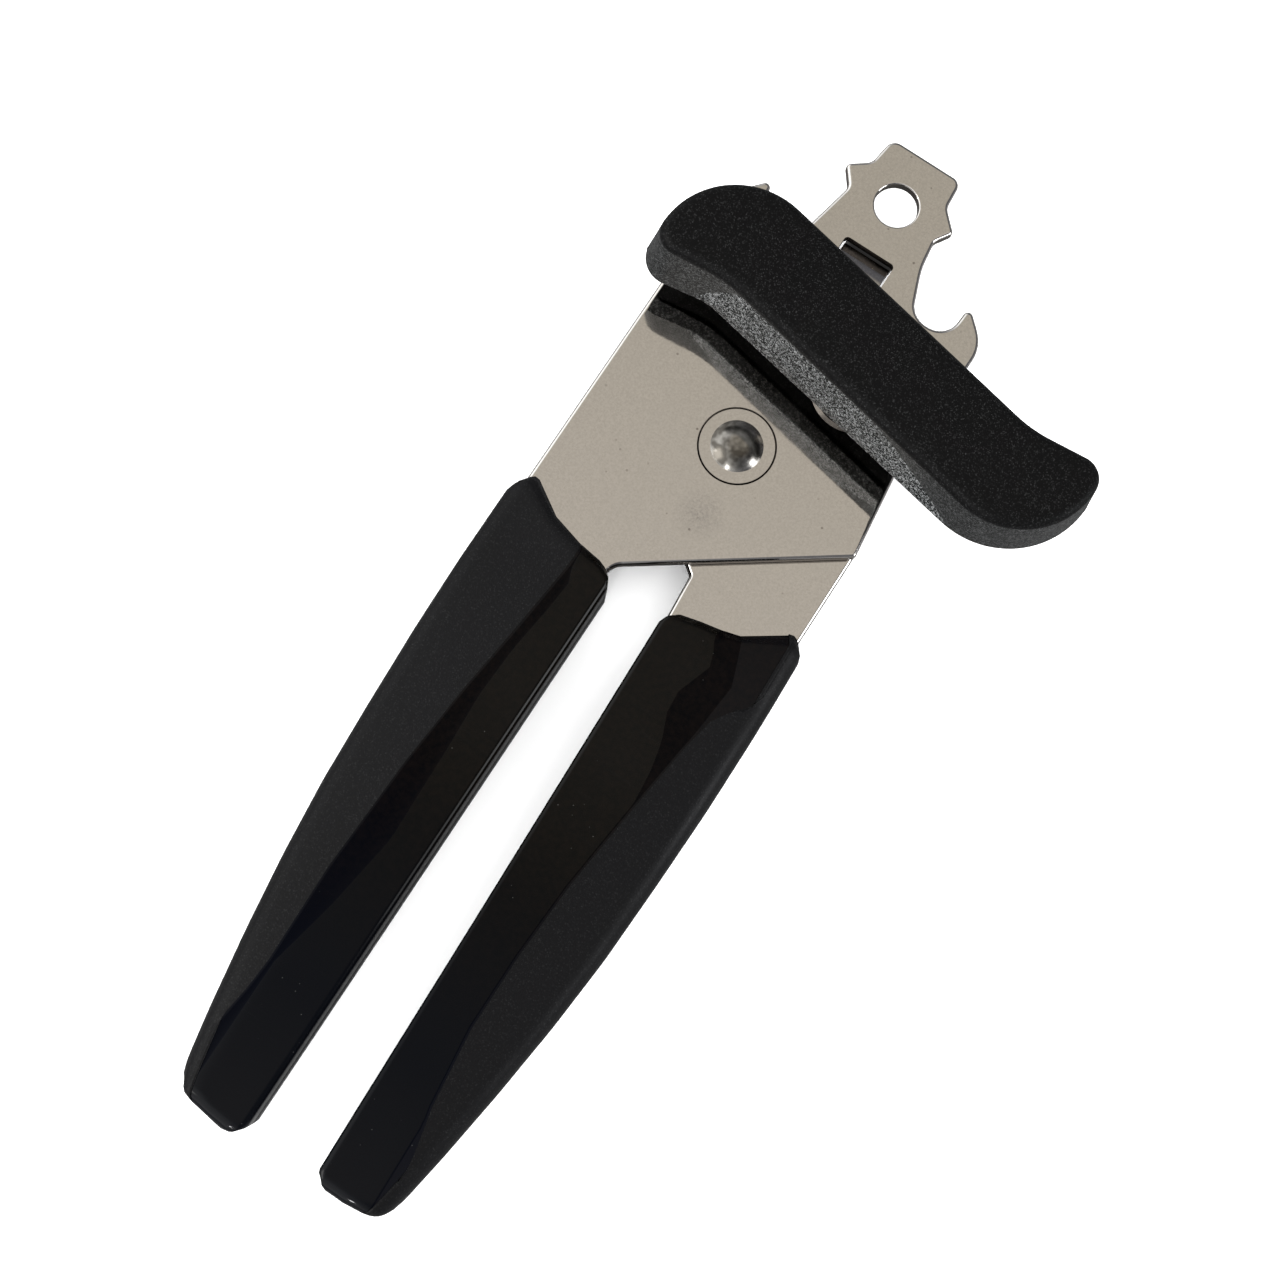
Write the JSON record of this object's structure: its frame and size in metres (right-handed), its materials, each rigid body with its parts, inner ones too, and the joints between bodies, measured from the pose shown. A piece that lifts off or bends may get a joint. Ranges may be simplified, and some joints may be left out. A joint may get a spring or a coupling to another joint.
{
  "type": "manual can opener",
  "caption": "Hand-held can opener: two crossed steel levers with moulded grips, a turning knob that drives a toothed feed wheel, a rolling cutting wheel, a bottle hook and a hang hole.",
  "frame": {"origin": "centre of the hang hole, half way through the front plate", "axes": "+Z along the hang hole, towards the knob; +Y from the handles to the head"},
  "size_m": [0.0892, 0.21, 0.0342],
  "materials": {
    "plate_nickel": "polished nickel plate",
    "bearing_steel": "turned and plated",
    "cutting_steel": "ground",
    "hub_bronze": "turned",
    "grip_plastic": "gloss with a satin bevel",
    "knob_plastic": "fine sparkled grain",
    "zinc_steel": "zinc plated"
  },
  "bodies": {
    "front_lever": {"front_plate": "plate_nickel", "shaft_bush": "bearing_steel", "left_grip": "grip_plastic", "left_grip_pins": "zinc_steel"},
    "rear_lever": {"rear_plate": "plate_nickel", "right_grip": "grip_plastic", "right_grip_pins": "zinc_steel", "pivot_bush": "plate_nickel", "pivot_washer": "zinc_steel", "pivot_rivet": "plate_nickel", "cutter_stud": "bearing_steel", "cutter_washer": "zinc_steel"},
    "cutting_wheel": {"cutter_wheel": "cutting_steel", "cutter_hub": "hub_bronze"},
    "crank": {"knob_shell": "knob_plastic", "knob_cover": "knob_plastic", "crank_arm": "zinc_steel", "arm_clip": "zinc_steel", "drive_shaft": "bearing_steel", "thrust_washer": "zinc_steel", "feed_washer": "zinc_steel", "feed_wheel": "cutting_steel", "feed_nut": "zinc_steel"}
  },
  "joints": [
    {"name": "lever_open", "type": "hinge", "parent": "front_lever", "child": "rear_lever", "pos_m": [0, -0.0542, 0], "axis": [0, 0, 1], "range_deg": [0, 35]},
    {"name": "cutter_spin", "type": "hinge", "parent": "rear_lever", "child": "cutting_wheel", "pos_m": [-0.0034, -0.0337, 0], "axis": [0, 0, 1], "continuous": true},
    {"name": "crank_spin", "type": "hinge", "parent": "front_lever", "child": "crank", "pos_m": [0.012, -0.0337, 0], "axis": [0, 0, 1], "continuous": true}
  ]
}
